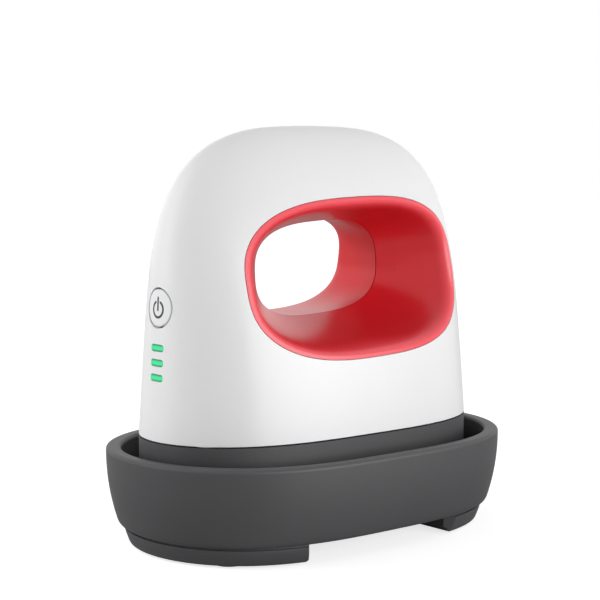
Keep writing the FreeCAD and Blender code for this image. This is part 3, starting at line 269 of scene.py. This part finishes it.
# small moulded and dipped parts inside: thermoplastics and epoxy, even in colour with faint flow clouds
smallParts = {
    "moulded_blue_pbt": {"pieces": ("relay",), "light": "#2B62B4", "dark": "#2456A3",
                         "roughness": (0.3, 0.4)},
    "dipped_yellow_epoxy": {"pieces": ("film_capacitor",), "light": "#E0A92C", "dark": "#D29B22",
                            "roughness": (0.22, 0.3)},
    "moulded_green_polyamide": {"pieces": ("terminal_block",), "light": "#2E8F55", "dark": "#287F4B",
                                "roughness": (0.36, 0.48)},
    "moulded_black_nylon": {"pieces": ("tact_switch", "switch_plunger", "cord_clamp", "board_fuse"),
                            "light": "#27272A", "dark": "#1E1E20", "roughness": (0.4, 0.52)},
}
smallGrain = {"cloud": 4 * mm, "grain": 0.5 * mm, "grainDepth": 0.006 * mm}
for name, look in smallParts.items():
    plainFinish(name, {**smallGrain, **look}, *look["pieces"], IOR=1.54)

# electrolytic can: shrunk PVC sleeve on the side, bare pressed aluminium on top, parted by height
canLook = {"sleeve": "#20242C", "sleeveLight": "#2A2F39", "metal": "#C3C5C8", "lid": 0.35 * mm,
           "cloud": 3 * mm, "roughness": 0.34}
sleevedCan, tree, shader, place = newMaterial("pvc_sleeved_aluminium", IOR=1.54,
                                              Roughness=canLook["roughness"])
height = addNode(tree, "ShaderNodeSeparateXYZ", None, {0: place}).outputs["Z"]
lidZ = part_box("smoothing_capacitor")[1][2] - canLook["lid"]
onLid = addNode(tree, "ShaderNodeMath", {"operation": "GREATER_THAN", 1: lidZ}, {0: height}).outputs[0]
sleeve = varied(tree, shader, place, canLook["sleeve"], canLook["sleeveLight"], canLook["cloud"])
mix = addNode(tree, "ShaderNodeMix", {"data_type": "RGBA", 7: linearColour(canLook["metal"])},
              {0: onLid, 6: sleeve})
tree.links.new(mix.outputs[2], shader.inputs["Base Color"])
tree.links.new(onLid, shader.inputs["Metallic"])
dress(sleevedCan, "smoothing_capacitor")

# thermal fuse and sensor, nickelled brass: soft sheen with yellowish tarnish clouds
axialLook = {"light": "#C9BD96", "dark": "#A89A70", "cloud": 2 * mm, "grain": 0.4 * mm,
             "grainDepth": 0.004 * mm, "roughness": (0.3, 0.45)}
plainFinish("nickelled_brass", axialLook, "thermal_fuse", "temperature_sensor", Metallic=1.0)

# leads, silicone rubber extruded over glass braid: dull brick red, slightly uneven from the braid below
leadLook = {"light": "#B7382F", "dark": "#A32F27", "cloud": 5 * mm, "grain": 0.9 * mm,
            "grainDepth": 0.03 * mm, "roughness": (0.5, 0.65)}
plainFinish("silicone_over_glass_braid", leadLook, "element_leads", "control_lead", IOR=1.41)

# surface-mount lamps, epoxy cast over phosphor: glossy pale yellow
ledLook = {"light": "#F0E9C0", "dark": "#E2D37A", "cloud": 2 * mm, "grain": 0.3 * mm,
           "grainDepth": 0.003 * mm, "roughness": (0.2, 0.3)}
plainFinish("phosphor_epoxy", ledLook, "status_leds", IOR=1.55)

# light guide: polycarbonate, tinted and lit from behind, each bar bright along its middle and
# darker green towards its upper and lower edges. coreEnd and edgeFull are shares of the bar's height,
# counted from its middle.
guideLook = {"core": "#2CD48C", "edge": "#0F5A38", "height": 2.1 * mm, "pitch": 4.4 * mm,
             "middle": 57.85 * mm, "coreEnd": 0.18, "edgeFull": 0.5, "glow": 0.32, "roughness": 0.22}
litPolycarbonate, tree, shader, place = newMaterial("lit_green_polycarbonate", IOR=1.585,
                                                    Roughness=guideLook["roughness"],
                                                    Emission_Strength=guideLook["glow"])
height = addNode(tree, "ShaderNodeSeparateXYZ", None, {0: place}).outputs["Z"]
fromMiddle = addNode(tree, "ShaderNodeMath", {"operation": "SUBTRACT", 1: guideLook["middle"]}, {0: height})
fromBar = addNode(tree, "ShaderNodeMath", {"operation": "PINGPONG", 1: guideLook["pitch"] / 2},
                  {0: fromMiddle.outputs[0]})
toEdge = addNode(tree, "ShaderNodeMapRange", {"From Min": guideLook["height"] * guideLook["coreEnd"],
                                              "From Max": guideLook["height"] * guideLook["edgeFull"]},
                 {"Value": fromBar.outputs[0]})
mix = addNode(tree, "ShaderNodeMix", {"data_type": "RGBA", 6: linearColour(guideLook["core"]),
                                      7: linearColour(guideLook["edge"])}, {0: toEdge.outputs["Result"]})
tree.links.new(mix.outputs[2], shader.inputs["Base Color"])
tree.links.new(mix.outputs[2], shader.inputs["Emission Color"])
dress(litPolycarbonate, "light_guide")
print("materials assigned")

# the generic power sign, printed on the button's face: a ring open at the top and a bar. The ribbon
# lies ink proud of the face and sunk into it, and halfGap is in degrees.
mark = {"ringRadius": 2.35 * mm, "stroke": 0.72 * mm, "halfGap": 29.0, "drop": 0.4 * mm, "barTop": 3.4 * mm,
        "barFoot": -0.2 * mm, "ink": 0.03 * mm, "sunk": 0.05 * mm, "ringSteps": 64, "barSteps": 8,
        "capSteps": 8, "rayFrom": -100 * mm}


def strokeSheet(sheet, path, width, steps):
    # a flat ribbon along a path of (y, z) points with round ends, three vertices across
    sections = []
    for i, point in enumerate(path):
        along = (path[min(i + 1, len(path) - 1)] - path[max(i - 1, 0)]).normalized()
        across = Vector((-along.y, along.x)) * width / 2
        sections.append([sheet.verts.new((0, *(point + across * side))) for side in (1, 0, -1)])
    for (a, b, c), (d, e, f) in zip(sections, sections[1:]):
        sheet.faces.new((a, b, e, d))
        sheet.faces.new((b, c, f, e))
    for end, side in ((0, -1), (-1, 1)):
        left, middle, right = sections[end]
        spoke = Vector(left.co.yz) - Vector(middle.co.yz)
        rim = [left]
        for k in range(1, steps):
            turned = Matrix.Rotation(-side * math.pi * k / steps, 2) @ spoke
            rim.append(sheet.verts.new((0, *(Vector(middle.co.yz) + turned))))
        rim.append(right)
        for first, second in zip(rim, rim[1:]):
            sheet.faces.new((middle, first, second))


low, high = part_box("power_button")
centre = Vector(((low[1] + high[1]) / 2, (low[2] + high[2]) / 2 - mark["drop"]))
sweep = [math.radians(90 + mark["halfGap"] + (360 - 2 * mark["halfGap"]) * k / mark["ringSteps"])
         for k in range(mark["ringSteps"] + 1)]
ring = [centre + Vector((math.cos(a), math.sin(a))) * mark["ringRadius"] for a in sweep]
barLength = mark["barTop"] - mark["barFoot"]
bar = [centre + Vector((0, mark["barFoot"] + barLength * k / mark["barSteps"]))
       for k in range(mark["barSteps"] + 1)]
ribbon = bmesh.new()
for path in (ring, bar):
    strokeSheet(ribbon, path, mark["stroke"], mark["capSteps"])
button = nodes["power_button"].data
buttonFace = BVHTree.FromPolygons([v.co for v in button.vertices], [p.vertices for p in button.polygons])
for vertex in ribbon.verts:    # laid on the button's curved face
    hit = buttonFace.ray_cast(Vector((mark["rayFrom"], vertex.co.y, vertex.co.z)), Vector((1, 0, 0)))[0]
    vertex.co.x = hit.x - mark["ink"]
bmesh.ops.recalc_face_normals(ribbon, faces=ribbon.faces)
if sum(f.normal.x for f in ribbon.faces) > 0:    # the printed side looks out, towards -X
    bmesh.ops.reverse_faces(ribbon, faces=ribbon.faces)
powerMark = bpy.data.objects.new("power_mark", bpy.data.meshes.new("power_mark"))
ribbon.to_mesh(powerMark.data)
ribbon.free()
scene.collection.objects.link(powerMark)
film = powerMark.modifiers.new("ink", "SOLIDIFY")
film.thickness = mark["ink"] + mark["sunk"]
film.offset = -1.0    # all of it goes inwards from the ribbon
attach(powerMark, "button")

# pad-printing ink: thin, matt, dark grey with slightly uneven cover
inkLook = {"light": "#4A4B4E", "dark": "#3E3F42", "cloud": 1.2 * mm, "grain": 0.15 * mm,
           "grainDepth": 0.003 * mm, "roughness": (0.5, 0.65)}
powerMark.data.materials.append(plainFinish("pad_printed_ink", inkLook, IOR=1.5))
print("power mark laid on the button")

# studio in metres. The floor's own light reaches only the camera: lift of it near the press, growing to
# farLift from near to far, so that the floor runs into the white behind it without a horizon.
studio = {"floorRadius": 3.0, "floorSegments": 96, "floor": "#D2D2D2", "floorRoughness": 0.9, "lift": 0.74,
          "farLift": 1.0, "near": 0.35, "far": 1.4, "ambient": 0.18, "panelsFace": 0.07, "panelsAway": 0.9}

floorMesh = bmesh.new()
bmesh.ops.create_circle(floorMesh, cap_ends=True, segments=studio["floorSegments"],
                        radius=studio["floorRadius"])
floor = bpy.data.objects.new("floor", bpy.data.meshes.new("floor"))
floorMesh.to_mesh(floor.data)
floorMesh.free()
scene.collection.objects.link(floor)

# backdrop paper, uncoated: white and matt
paper, tree, shader, place = newMaterial("white_studio_paper", Roughness=studio["floorRoughness"],
                                         Base_Color=linearColour(studio["floor"]),
                                         Emission_Color=(1, 1, 1, 1))
seen = addNode(tree, "ShaderNodeLightPath").outputs["Is Camera Ray"]
away = addNode(tree, "ShaderNodeVectorMath", {"operation": "LENGTH"}, {0: place})
farther = addNode(tree, "ShaderNodeMapRange", {"From Min": studio["near"], "From Max": studio["far"],
                                               "To Min": studio["lift"], "To Max": studio["farLift"]},
                  {"Value": away.outputs["Value"]})
lift = addNode(tree, "ShaderNodeMath", {"operation": "MULTIPLY"}, {0: seen, 1: farther.outputs["Result"]})
tree.links.new(lift.outputs[0], shader.inputs["Emission Strength"])
floor.data.materials.append(paper)

# white surroundings: full strength where they are seen or show in gloss, and only ambient of it as
# light on matt surfaces
world = bpy.data.worlds.new("studio")
world.use_nodes = True
tree = world.node_tree
sky = tree.nodes["Background"]
rays = addNode(tree, "ShaderNodeLightPath")
shown = addNode(tree, "ShaderNodeMath", {"operation": "MAXIMUM"},
                {0: rays.outputs["Is Camera Ray"], 1: rays.outputs["Is Glossy Ray"]})
level = addNode(tree, "ShaderNodeMapRange", {"To Min": studio["ambient"], "To Max": 1.0},
                {"Value": shown.outputs[0]})
tree.links.new(level.outputs["Result"], sky.inputs["Strength"])
sky.inputs["Color"].default_value = (1, 1, 1, 1)
scene.world = world

# soft panels stand round the press; turn is degrees round from the camera (right is positive), rise
# is degrees above the floor, both from the point they face. Only two show in gloss: the large left
# one and those behind would burn out where the shell is seen at a grazing angle.
panels = {
    "panelLeft": {"turn": -86, "rise": 23, "size": (0.5, 0.95), "watts": 5.7, "inGloss": False},
    "panelLeftGleam": {"turn": -76, "rise": 20, "size": (0.5, 0.8), "watts": 0.7, "inGloss": True},
    "panelRight": {"turn": 54, "rise": 8, "size": (0.9, 0.5), "watts": 6.4, "inGloss": True},
    "panelBehindLeft": {"turn": -126, "rise": 8, "size": (0.6, 0.5), "watts": 0.4, "inGloss": False},
    "panelBehindRight": {"turn": 95, "rise": 38, "size": (0.5, 0.5), "watts": 0.75, "inGloss": False},
    "panelBehind": {"turn": -155, "rise": 8, "size": (0.6, 0.5), "watts": 0.9, "inGloss": False},
}
facing = Vector((0, 0, studio["panelsFace"]))
for name, panel in panels.items():
    turn, rise = azimuth + math.radians(panel["turn"]), math.radians(panel["rise"])
    outward = Vector((math.sin(turn) * math.cos(rise), -math.cos(turn) * math.cos(rise), math.sin(rise)))
    lamp = bpy.data.lights.new(name, "AREA")
    lamp.shape = "RECTANGLE"
    lamp.size, lamp.size_y = panel["size"]
    lamp.energy = panel["watts"]
    holder = bpy.data.objects.new(name, lamp)
    holder.location = facing + outward * studio["panelsAway"]
    holder.rotation_euler = outward.to_track_quat("Z", "Y").to_euler()
    holder.visible_glossy = panel["inGloss"]
    scene.collection.objects.link(holder)
print("studio set")

scene.view_settings.view_transform = "Standard"
